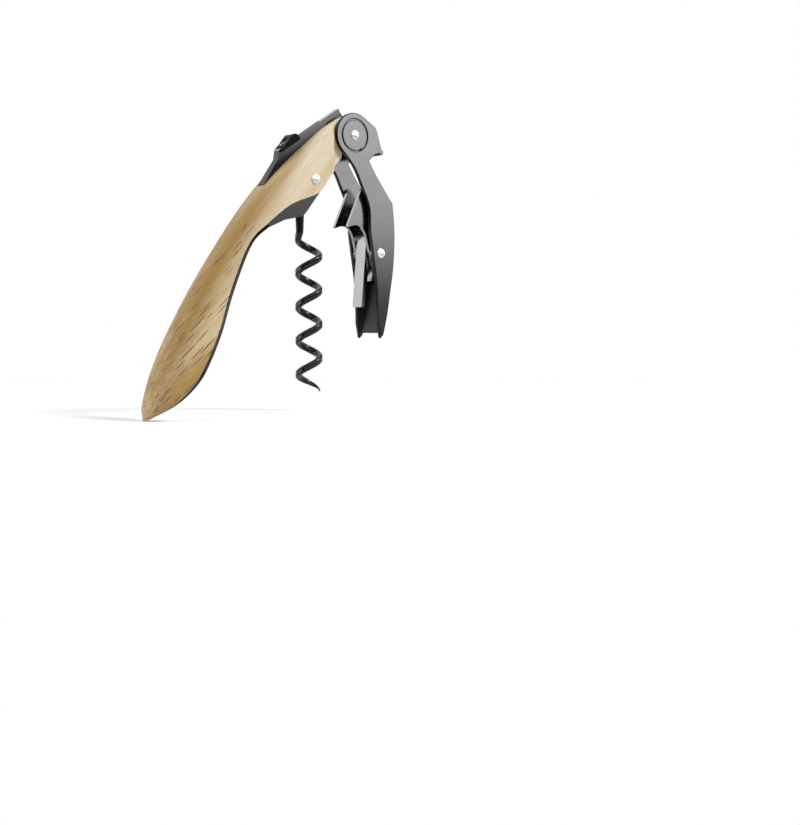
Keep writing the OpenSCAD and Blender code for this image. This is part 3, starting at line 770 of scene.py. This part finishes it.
class CORKSCREW_OT_worm(bpy.types.Operator):
    """Finish the coated worm and its pivot block"""

    bl_idname = "corkscrew.worm"
    bl_label = "Worm"

    def execute(self, context):
        smoothed_piece("worm", "coated_worm", gloss_black("Worm coating", colours().worm_shine), "worm",
                       edges().worm_levels, edges().worm_sharp)
        rounded_piece("worm_block", "pivot_block", keel_metal(), "worm", edges().small)
        return {"FINISHED"}


class CORKSCREW_OT_rivets(bpy.types.Operator):
    """Turn the three domed rivets"""

    bl_idname = "corkscrew.rivets"
    bl_label = "Rivets"

    def execute(self, context):
        turned_pin("worm_pin", "worm_rivet", "handle")
        turned_pin("hinge_pin", "hinge_rivet", "lever")
        turned_pin("rocker_pin", "rocker_rivet", "lever")
        return {"FINISHED"}


class CORKSCREW_OT_foil_cutter(bpy.types.Operator):
    """Finish the sliding foil cutter and its cover"""

    bl_idname = "corkscrew.foil_cutter"
    bl_label = "Foil cutter"

    def execute(self, context):
        rounded_piece("blade_cover", "cutter_cover", cover_metal_painted_shade(), "handle", edges().cover)
        rounded_piece("detent_leaf", "leaf_spring", plain_steel(), "handle", edges().blade)
        rounded_piece("thumb_knob", "slide_knob", gloss_black("Knob gloss", colours().knob_shine), "slider",
                      edges().knob)
        rounded_piece("blade_carrier", "slide_carrier", plain_steel(), "slider",
                      edges().blade)
        rounded_piece("foil_blade", "cutter_blade", blade_steel(), "slider", edges().blade)
        rounded_piece("blade_rivet", "cutter_rivet", plain_steel(), "slider", edges().blade)
        return {"FINISHED"}


class CORKSCREW_OT_small_turnings(bpy.types.Operator):
    """Finish the bushes, washers and spacers round the pivots"""

    bl_idname = "corkscrew.small_turnings"
    bl_label = "Bushes and washers"

    def execute(self, context):
        rows = (("hinge_bush", "hinge_sleeve", "handle"), ("worm_spacers", "worm_rings", "handle"),
                ("hinge_washers", "hinge_shims", "lever"), ("rocker_washers", "rocker_shims", "lever"),
                ("rocker_bush", "rocker_sleeve", "rocker"))
        for node, name, body in rows:
            rounded_piece(node, name, plain_steel(), body, edges().small)
        return {"FINISHED"}


def aim(thing, place, target):
    """Puts a lamp or camera at a place, looking at a target."""
    thing.location = place
    thing.rotation_euler = (Vector(target) - Vector(place)).to_track_quat("-Z", "Y").to_euler()


def soft_lamps(target):
    """The large soft area lamps, turned to the target: watts, width and height, and place in metres."""
    setting = stage_settings()
    rows = (
        ("Front lamp", setting.key, (0.24, 0.24), (0.40, -0.50, 0.62)),
        ("Side lamp", setting.side, (0.5, 0.7), (-0.65, 0.40, 0.25)),
        ("Top lamp", setting.top, (0.5, 0.5), (-0.10, 0.20, 0.80)),
    )
    for name, watts, size, place in rows:
        data = bpy.data.lights.new(name, "AREA")
        data.shape = "RECTANGLE"
        data.size = size[0]
        data.size_y = size[1]
        data.energy = watts
        lamp = bpy.data.objects.new(name, data)
        bpy.context.scene.collection.objects.link(lamp)
        aim(lamp, place, target)


def floor_material():
    """Pale floor that keeps the shadow and thins out to the white beyond."""
    setting = stage_settings()
    graph = Graph("Pale floor")
    place = graph.add("ShaderNodeTexCoord")
    reach = graph.add("ShaderNodeVectorMath", operation="LENGTH")
    graph.link(place.outputs["Object"], reach.inputs[0])
    fade = graph.span(reach.outputs["Value"], setting.fade_from, setting.fade_to)
    matt = graph.add("ShaderNodeBsdfDiffuse")
    matt.inputs["Color"].default_value = (*colours().floor, 1.0)
    clear = graph.add("ShaderNodeBsdfTransparent")
    both = graph.add("ShaderNodeMixShader")
    graph.link(fade, both.inputs["Fac"])
    graph.link(clear.outputs["BSDF"], both.inputs[2])
    path = graph.add("ShaderNodeLightPath")
    glow = graph.add("ShaderNodeEmission")
    graph.link(graph.maths("MULTIPLY", path.outputs["Is Camera Ray"], setting.floor_lift),
               glow.inputs["Strength"])
    sum_of = graph.add("ShaderNodeAddShader")
    graph.link(matt.outputs["BSDF"], sum_of.inputs[0])
    graph.link(glow.outputs["Emission"], sum_of.inputs[1])
    graph.link(sum_of.outputs["Shader"], both.inputs[1])
    end = graph.add("ShaderNodeOutputMaterial")
    graph.link(both.outputs["Shader"], end.inputs["Surface"])
    return graph.material


def studio_world():
    """White sweep behind the piece, a dark room with a bright ceiling in front; the camera sees white."""
    setting = stage_settings()
    graph = Graph("White studio", bpy.data.worlds)
    path = graph.add("ShaderNodeLightPath")
    way = graph.add("ShaderNodeTexCoord")
    facing = graph.add("ShaderNodeVectorMath", operation="DOT_PRODUCT")
    facing.inputs[1].default_value = (math.sin(setting.yaw), math.cos(setting.yaw), 0.0)
    graph.link(way.outputs["Generated"], facing.inputs[0])
    rise = graph.split(way.outputs["Generated"])["Z"]
    sweep = graph.span(facing.outputs["Value"], setting.sweep_from, setting.sweep_to, smooth=True)
    ceiling = graph.span(rise, setting.ceiling_from, setting.ceiling_to, 0.0, setting.ceiling,
                         smooth=True)
    seen = graph.maths("MAXIMUM", graph.maths("MAXIMUM", sweep, ceiling), setting.room)
    lit = graph.blend(path.outputs["Is Glossy Ray"], setting.world, seen)
    lit = graph.blend(path.outputs["Is Transmission Ray"], lit, 1.0)
    lit = graph.blend(path.outputs["Is Camera Ray"], lit, 1.0)
    light = graph.add("ShaderNodeBackground")
    light.inputs["Color"].default_value = (1.0, 1.0, 1.0, 1.0)
    graph.link(lit, light.inputs["Strength"])
    end = graph.add("ShaderNodeOutputWorld")
    graph.link(light.outputs["Background"], end.inputs["Surface"])
    bpy.context.scene.world = graph.material


class CORKSCREW_OT_stage(bpy.types.Operator):
    """Lay the floor and set the lamps and the camera"""

    bl_idname = "corkscrew.stage"
    bl_label = "Stage"

    def execute(self, context):
        setting = stage_settings()
        low, high = CAD_BOX
        middle = (Vector(low) + Vector(high)) / 2.0
        form = bmesh.new()
        lay = Matrix.Translation((middle.x, middle.y, low[2] - setting.drop))
        bmesh.ops.create_grid(form, x_segments=1, y_segments=1, size=setting.floor_size / 2.0, matrix=lay)
        mesh = bpy.data.meshes.new("Floor")
        form.to_mesh(mesh)
        form.free()
        mesh.materials.append(floor_material())
        floor = bpy.data.objects.new("Floor", mesh)
        context.scene.collection.objects.link(floor)
        soft_lamps(middle)
        studio_world()
        data = bpy.data.cameras.new("Photo camera")
        data.sensor_fit = "VERTICAL"
        data.sensor_height = setting.sensor
        data.lens = setting.focal
        camera = bpy.data.objects.new("Photo camera", data)
        context.scene.collection.objects.link(camera)
        level = math.cos(setting.pitch)
        look = Vector((math.sin(setting.yaw) * level, math.cos(setting.yaw) * level,
                       -math.sin(setting.pitch)))
        aim(camera, Vector(setting.eye), Vector(setting.eye) + look)
        context.scene.camera = camera
        context.scene.view_settings.view_transform = "Standard"
        return {"FINISHED"}


class CORKSCREW_PT_finish(bpy.types.Panel):
    """The finish steps, in order"""

    bl_label = "Corkscrew finish"
    bl_idname = "CORKSCREW_PT_finish"
    bl_space_type = "VIEW_3D"
    bl_region_type = "UI"
    bl_category = "Corkscrew"

    def draw(self, context):
        for step in STEPS:
            self.layout.operator(step.bl_idname)


STEPS = (
    CORKSCREW_OT_wood_grip,
    CORKSCREW_OT_metal_frame,
    CORKSCREW_OT_lever,
    CORKSCREW_OT_rocker,
    CORKSCREW_OT_worm,
    CORKSCREW_OT_rivets,
    CORKSCREW_OT_foil_cutter,
    CORKSCREW_OT_small_turnings,
    CORKSCREW_OT_stage,
)
GROUPS = (CorkscrewEdges, CorkscrewColours, CorkscrewPatterns, CorkscrewStage)


def register():
    """Registers the settings, the steps and the panel."""
    for kind in (*GROUPS, *STEPS, CORKSCREW_PT_finish):
        bpy.utils.register_class(kind)
    bpy.types.Scene.corkscrew_edges = PointerProperty(type=CorkscrewEdges)
    bpy.types.Scene.corkscrew_colours = PointerProperty(type=CorkscrewColours)
    bpy.types.Scene.corkscrew_patterns = PointerProperty(type=CorkscrewPatterns)
    bpy.types.Scene.corkscrew_stage = PointerProperty(type=CorkscrewStage)


def unregister():
    """Takes everything back out, in the opposite order."""
    del bpy.types.Scene.corkscrew_stage
    del bpy.types.Scene.corkscrew_patterns
    del bpy.types.Scene.corkscrew_colours
    del bpy.types.Scene.corkscrew_edges
    for kind in reversed((*GROUPS, *STEPS, CORKSCREW_PT_finish)):
        bpy.utils.unregister_class(kind)


def main():
    """Runs every step."""
    register()
    bpy.ops.corkscrew.wood_grip()
    bpy.ops.corkscrew.metal_frame()
    bpy.ops.corkscrew.lever()
    bpy.ops.corkscrew.rocker()
    bpy.ops.corkscrew.worm()
    bpy.ops.corkscrew.rivets()
    bpy.ops.corkscrew.foil_cutter()
    bpy.ops.corkscrew.small_turnings()
    bpy.ops.corkscrew.stage()


if __name__ == "__main__":
    main()
